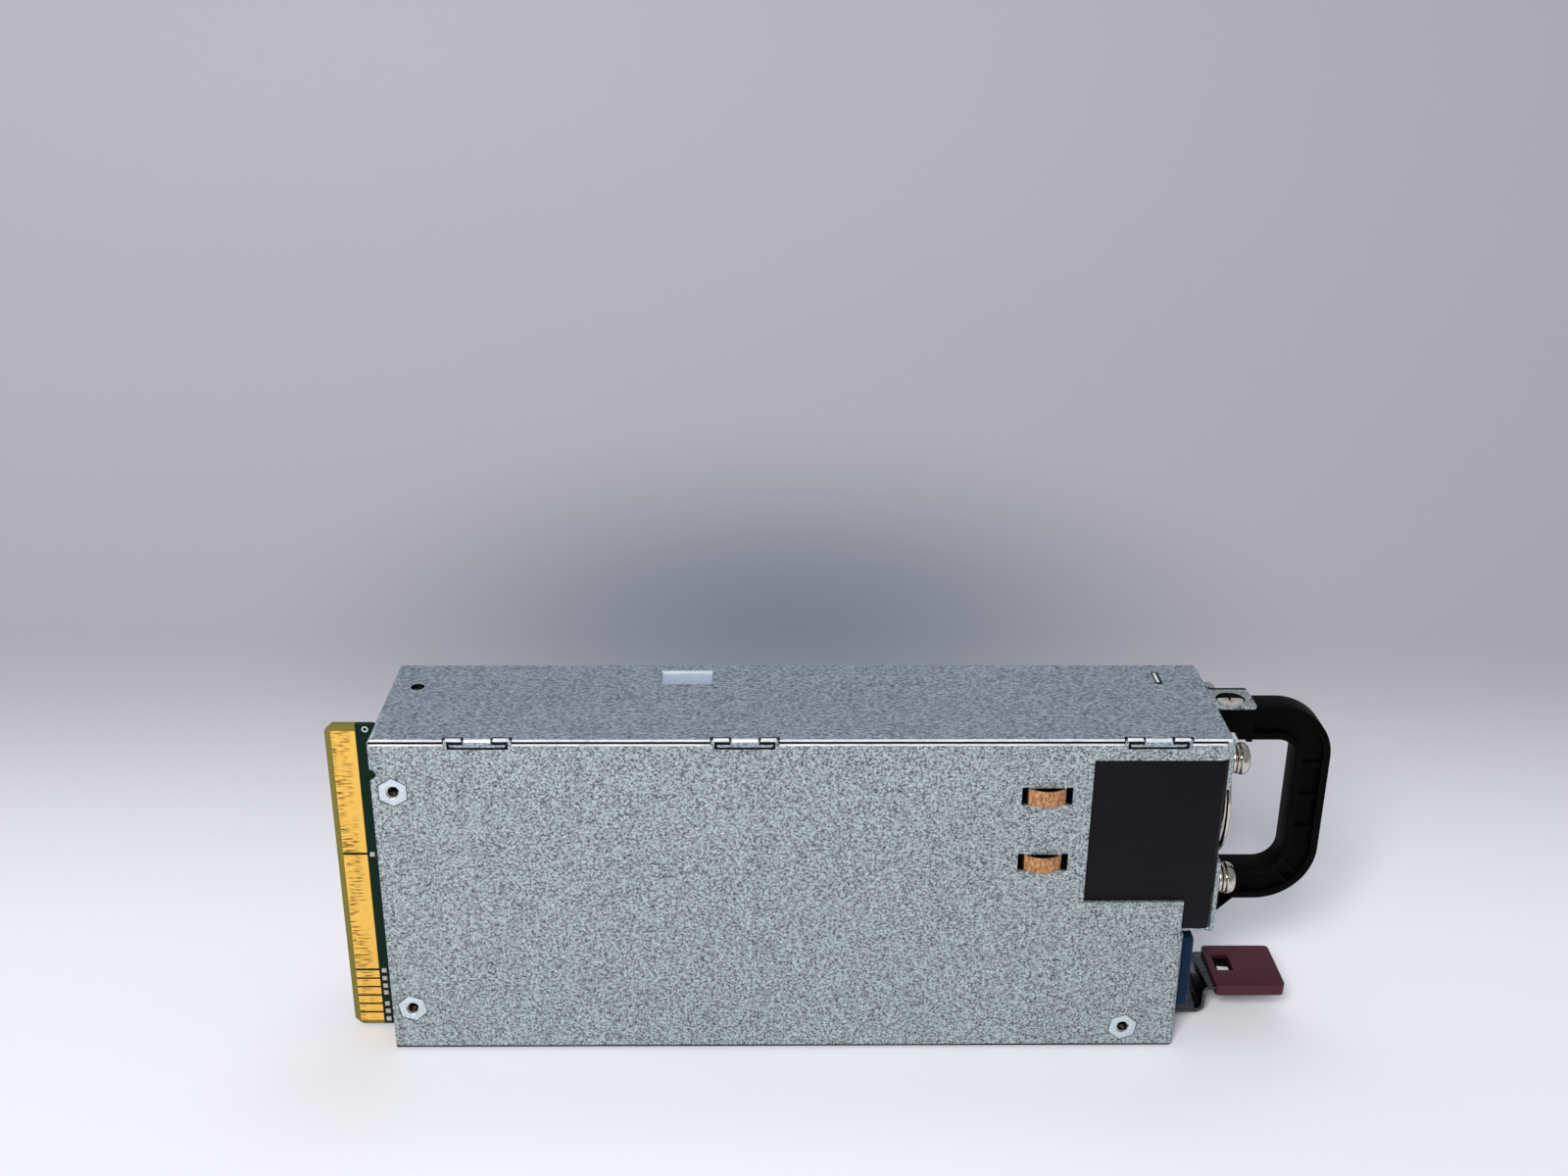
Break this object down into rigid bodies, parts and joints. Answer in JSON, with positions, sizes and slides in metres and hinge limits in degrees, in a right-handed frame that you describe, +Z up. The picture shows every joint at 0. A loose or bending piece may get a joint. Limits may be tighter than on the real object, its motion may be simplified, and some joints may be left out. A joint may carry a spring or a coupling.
{
  "type": "hot swap server power supply",
  "caption": "Slim steel cased server power supply with a gold card edge, a mains inlet, a fan behind a wire guard, a D handle and a sprung release latch.",
  "frame": {"origin": "centre of the face that the case stands on", "axes": "+X along the case towards the handle, +Y across the thin side away from the wall with the grounding springs, +Z up"},
  "size_m": [0.2366, 0.0417, 0.085],
  "materials": {
    "galvanised_steel": "zinc coated sheet, satin",
    "spring_steel": "bright spring strip",
    "black_film": "satin film",
    "zinc_fastener": "bright zinc",
    "copper_spring": "bare beryllium copper",
    "black_handle": "moulded, satin",
    "black_fan": "moulded, matte",
    "nickel_fastener": "nickel plated",
    "black_inlet": "moulded, matte",
    "blue_bezel": "moulded, satin",
    "nickel_pins": "nickel plated blades",
    "burgundy_cap": "moulded, satin",
    "board_green": "solder mask over glass laminate",
    "gold_fingers": "hard gold plating",
    "clear_insulator": "thin sheet",
    "capacitor_sleeve": "shrink sleeve",
    "ferrite": "ferrite core with tape",
    "yellow_case": "moulded box",
    "aluminium_sink": "extruded",
    "white_connector": "moulded",
    "tinned_copper": "tinned"
  },
  "bodies": {
    "chassis": {"tray_shell": "galvanised_steel", "cover_shell": "galvanised_steel", "catch_plate": "spring_steel", "fan_window_film": "black_film", "standoff_rear_upper": "zinc_fastener", "standoff_rear_lower": "zinc_fastener", "standoff_front": "zinc_fastener", "board_screws": "zinc_fastener", "fan_bracket": "galvanised_steel", "handle": "black_handle", "handle_screw": "zinc_fastener", "fan_frame": "black_fan", "fan_guard": "nickel_fastener", "fan_screws": "nickel_fastener", "inlet_body": "black_inlet", "inlet_bezel": "blue_bezel", "inlet_pins": "nickel_pins", "latch_rivets": "zinc_fastener", "main_board": "board_green", "power_fingers": "gold_fingers", "signal_fingers": "gold_fingers", "insulating_sheet": "clear_insulator", "bulk_capacitor": "capacitor_sleeve", "filter_choke": "ferrite", "filter_capacitor": "yellow_case", "boost_choke": "ferrite", "main_transformer": "ferrite", "output_inductor": "ferrite", "standby_transformer": "ferrite", "primary_heatsink": "aluminium_sink", "secondary_heatsink": "aluminium_sink", "fuse": "white_connector", "control_board": "board_green", "output_capacitors": "capacitor_sleeve", "output_busbars": "tinned_copper", "fan_connector": "white_connector"},
    "fan_rotor": {"fan_rotor": "black_fan"},
    "release_latch": {"latch_leaf": "spring_steel", "latch_cap": "burgundy_cap"},
    "upper_spring": {"grounding_spring_upper": "copper_spring"},
    "lower_spring": {"grounding_spring_lower": "copper_spring"}
  },
  "joints": [
    {"name": "fan_spin", "type": "hinge", "parent": "chassis", "child": "fan_rotor", "pos_m": [0.084, 0, 0.0619], "axis": [1, 0, 0], "continuous": true},
    {"name": "latch_flex", "type": "hinge", "parent": "chassis", "child": "release_latch", "pos_m": [0.045, 0, 0.00145], "axis": [0, -1, 0], "range_deg": [-1.6, 2.4], "stiffness_Nm_per_rad": 18},
    {"name": "upper_spring_press", "type": "slide", "parent": "chassis", "child": "upper_spring", "axis": [0, 1, 0], "range_m": [0, 0.0014], "stiffness_N_per_m": 1500},
    {"name": "lower_spring_press", "type": "slide", "parent": "chassis", "child": "lower_spring", "axis": [0, 1, 0], "range_m": [0, 0.0014], "stiffness_N_per_m": 1500}
  ]
}
